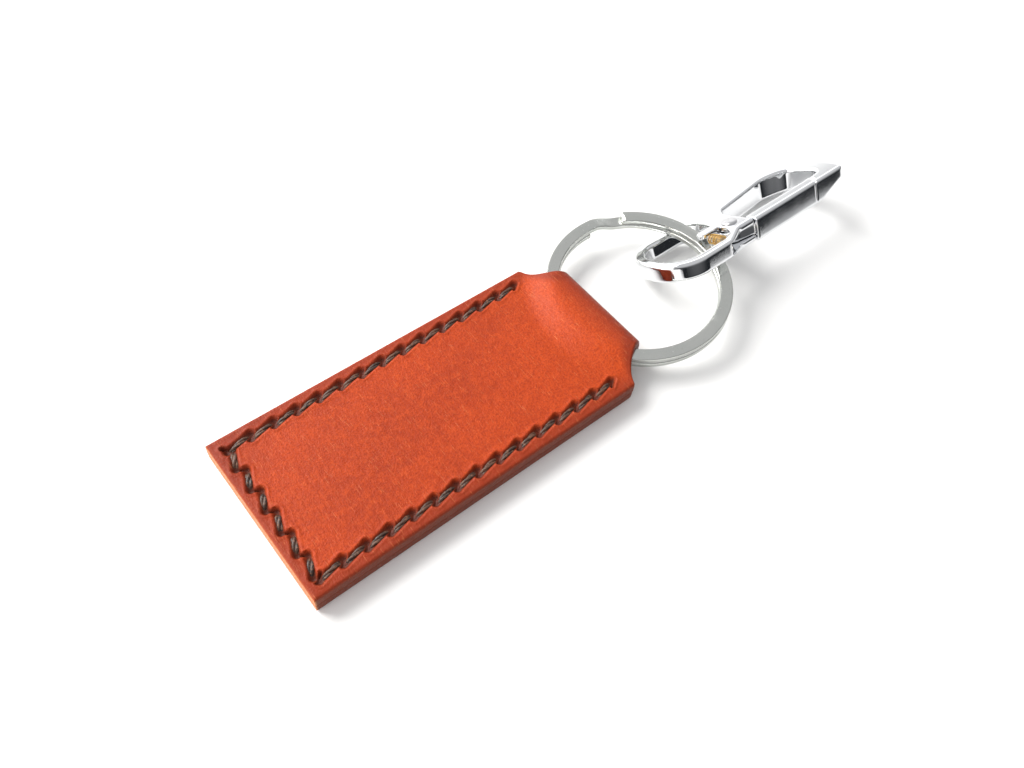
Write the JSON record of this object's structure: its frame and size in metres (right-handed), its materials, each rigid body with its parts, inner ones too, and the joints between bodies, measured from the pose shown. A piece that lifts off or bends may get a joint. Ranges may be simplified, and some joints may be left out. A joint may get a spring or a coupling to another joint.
{
  "type": "leather keychain with split ring and snap clip",
  "caption": "Flat stitched leather key fob folded round a split ring that carries a sprung snap clip, lying on its back.",
  "frame": {"origin": "centre of the fob's flat back face, on the surface that the keychain lies on", "axes": "+X from the fob to the ring and the clip, +Y across the fob, +Z out of the fob's front face"},
  "size_m": [0.1138, 0.03, 0.0101],
  "materials": {
    "leather": "waxed, burnished edges",
    "thread": "waxed thread",
    "ring_steel": "nickel-plated, bright",
    "clip_chrome": "chrome-plated die casting",
    "rivet_steel": "plated, bright",
    "spring_brass": "drawn wire"
  },
  "bodies": {
    "fob": {"leather_strip": "leather", "stitching_thread": "thread"},
    "ring": {"split_ring": "ring_steel"},
    "clip": {"clip_frame": "clip_chrome", "gate_rivet": "rivet_steel", "gate_spring": "spring_brass"},
    "gate": {"clip_gate": "clip_chrome"}
  },
  "joints": [
    {"name": "ring_turn", "type": "hinge", "parent": "fob", "child": "ring", "pos_m": [0.0412, 0, 0.00375], "axis": [-0.0896, 0, 0.996], "range_deg": [-60, 60]},
    {"name": "clip_swing", "type": "hinge", "parent": "ring", "child": "clip", "pos_m": [0.05509, 0, 0.005], "axis": [0, -1, 0], "range_deg": [0, 30]},
    {"name": "gate_open", "type": "hinge", "parent": "clip", "child": "gate", "pos_m": [0.05959, -0.00229, 0.00668], "axis": [0, 0.5299, 0.848], "range_deg": [0, 20], "stiffness_Nm_per_rad": 0.006, "springref_deg": -20.05, "deforming": ["gate_spring"]}
  ]
}
